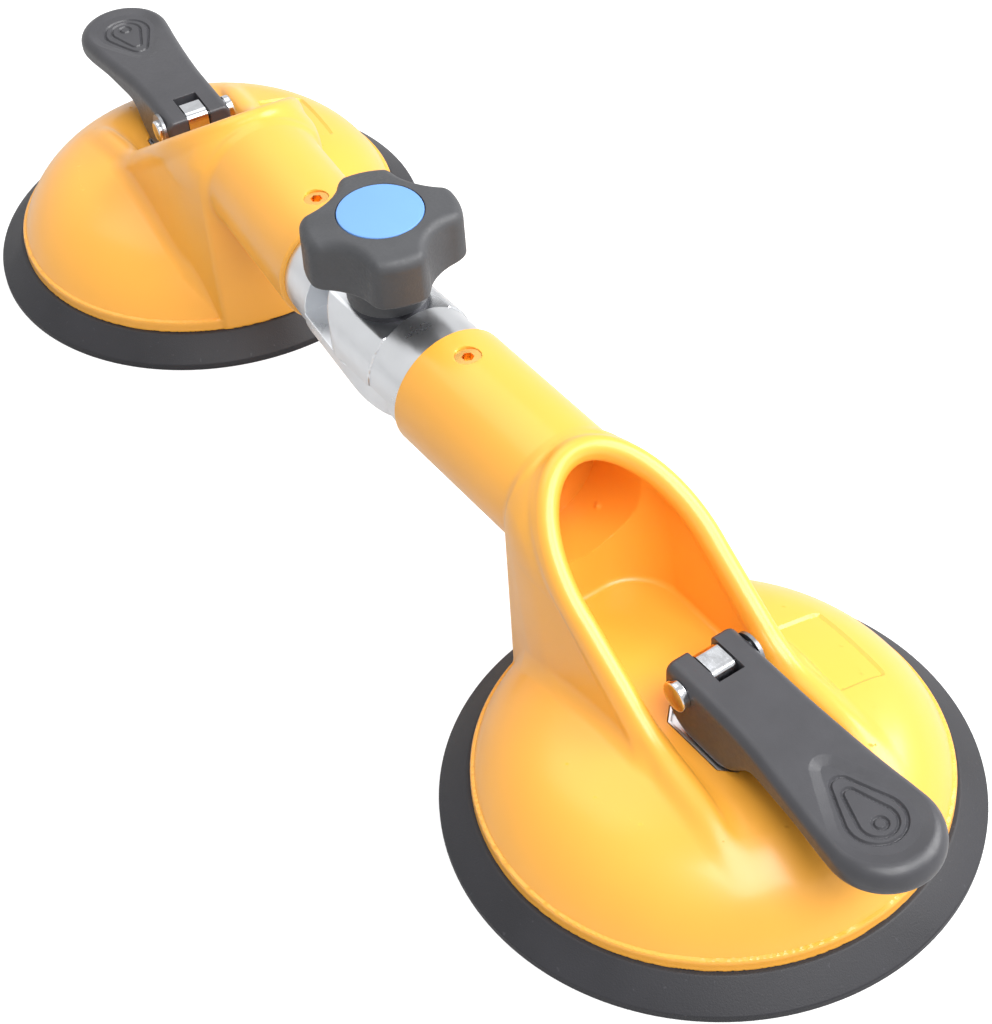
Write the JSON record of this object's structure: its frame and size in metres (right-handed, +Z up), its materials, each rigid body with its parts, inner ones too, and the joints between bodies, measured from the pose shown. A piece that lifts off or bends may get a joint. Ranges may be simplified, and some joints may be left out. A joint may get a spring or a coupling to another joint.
{
  "type": "floor tile suction lifter",
  "caption": "Lifting tool for tiles and panes: rubber suction cups with rocking vacuum levers under die-cast hoods, on arms joined by a lockable swivel.",
  "frame": {"origin": "middle of the tool, on the work surface that the cups stand on", "axes": "+X along the front arm, towards the front lever; +Z up from the work surface; +Y to the left of the front arm"},
  "size_m": [0.3724, 0.1356, 0.0894],
  "materials": {
    "body_paint": "glossy yellow-orange powder coat on die-cast aluminium",
    "cup_rubber": "matte black moulded rubber",
    "lever_plastic": "satin charcoal moulded nylon",
    "knob_plastic": "fine-textured dark thermoplastic",
    "cap_plastic": "smooth pale blue",
    "knuckle_alloy": "turned, bright satin",
    "bright_chrome": "bright plated steel",
    "zinc_steel": "zinc-plated steel",
    "spring_steel": "plain spring steel",
    "insert_brass": "turned brass"
  },
  "bodies": {
    "front_arm": {"front_housing": "body_paint", "front_rubber_pad": "cup_rubber", "front_wear_plate": "bright_chrome", "front_grub_screw": "zinc_steel", "front_knuckle": "knuckle_alloy", "pivot_bush": "insert_brass"},
    "front_pad_lift": {"front_pad_post": "bright_chrome", "front_backing_plate": "zinc_steel", "front_return_spring": "spring_steel"},
    "front_lever_group": {"front_lever": "lever_plastic", "front_lever_pin": "bright_chrome", "front_pin_clip": "spring_steel"},
    "rear_arm": {"rear_housing": "body_paint", "rear_rubber_pad": "cup_rubber", "rear_wear_plate": "bright_chrome", "rear_grub_screw": "zinc_steel", "rear_knuckle": "knuckle_alloy", "pivot_stud": "zinc_steel"},
    "rear_pad_lift": {"rear_pad_post": "bright_chrome", "rear_backing_plate": "zinc_steel", "rear_return_spring": "spring_steel"},
    "rear_lever_group": {"rear_lever": "lever_plastic", "rear_lever_pin": "bright_chrome", "rear_pin_clip": "spring_steel"},
    "knob_washer": {"clamp_washer": "zinc_steel"},
    "knob": {"knob_body": "knob_plastic", "knob_insert": "insert_brass", "knob_cap": "cap_plastic"}
  },
  "joints": [
    {"name": "arm_swivel", "type": "hinge", "parent": "front_arm", "child": "rear_arm", "pos_m": [0.00276, -0.00782, 0.0524], "axis": [0, 0, 1], "range_deg": [-82.85, 97.15]},
    {"name": "front_pad_slide", "type": "slide", "parent": "front_arm", "child": "front_pad_lift", "axis": [0, 0, -1], "range_m": [0, 0.0065], "deforming": ["front_return_spring", "front_rubber_pad"]},
    {"name": "front_lever_turn", "type": "hinge", "parent": "front_pad_lift", "child": "front_lever_group", "pos_m": [0.12186, -0.00782, 0.039], "axis": [0, -1, 0], "range_deg": [0, 90]},
    {"name": "rear_pad_slide", "type": "slide", "parent": "rear_arm", "child": "rear_pad_lift", "axis": [0, 0, -1], "range_m": [0, 0.0065], "deforming": ["rear_return_spring", "rear_rubber_pad"]},
    {"name": "rear_lever_turn", "type": "hinge", "parent": "rear_pad_lift", "child": "rear_lever_group", "pos_m": [-0.12226, 0.00787, 0.039], "axis": [0.1245, 0.9922, 0], "range_deg": [0, 90]},
    {"name": "knob_lift", "type": "slide", "parent": "rear_arm", "child": "knob_washer", "axis": [0, 0, 1], "range_m": [0, 0.0025]},
    {"name": "knob_turn", "type": "hinge", "parent": "knob_washer", "child": "knob", "pos_m": [0.00276, -0.00782, 0.0754], "axis": [0, 0, 1], "range_deg": [0, 720]}
  ],
  "couplings": [
    {"joint": "front_pad_slide", "follows": "front_lever_turn", "m_per_rad": 0.004138},
    {"joint": "rear_pad_slide", "follows": "rear_lever_turn", "m_per_rad": 0.004138},
    {"joint": "knob_lift", "follows": "knob_turn", "m_per_rad": 0.00019894}
  ]
}
